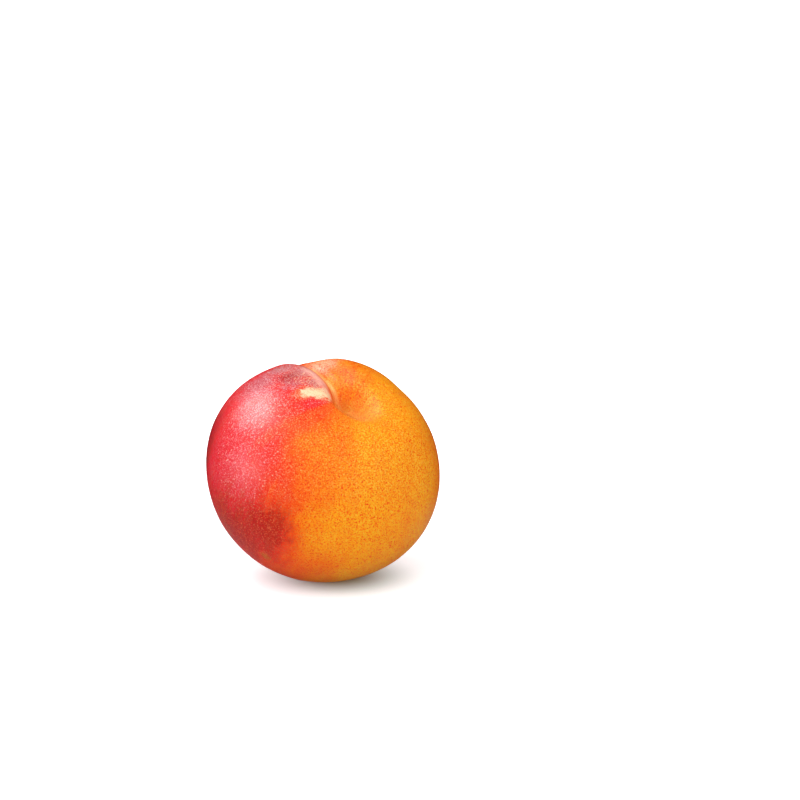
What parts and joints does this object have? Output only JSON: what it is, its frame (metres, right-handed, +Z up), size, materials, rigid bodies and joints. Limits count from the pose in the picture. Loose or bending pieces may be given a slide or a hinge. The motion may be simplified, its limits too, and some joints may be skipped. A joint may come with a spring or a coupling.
{
  "type": "nectarine",
  "caption": "Whole round stone fruit with a red-blushed orange skin, a deep stem cavity and a suture, resting on a small flat spot.",
  "frame": {"origin": "centre of the small flat spot on the fruit's underside, which it rests on", "axes": "+Z up from the surface; +Y towards the side with the suture, which is the side the stem cavity leans away from; +X across the two cheeks"},
  "size_m": [0.0669, 0.0646, 0.0614],
  "materials": {
    "skin": "satin fruit skin: a crimson blush over a yellow-orange ground, finely speckled, with a faint bloom"
  },
  "bodies": {
    "root": {"nectarine": "skin"}
  },
  "joints": []
}
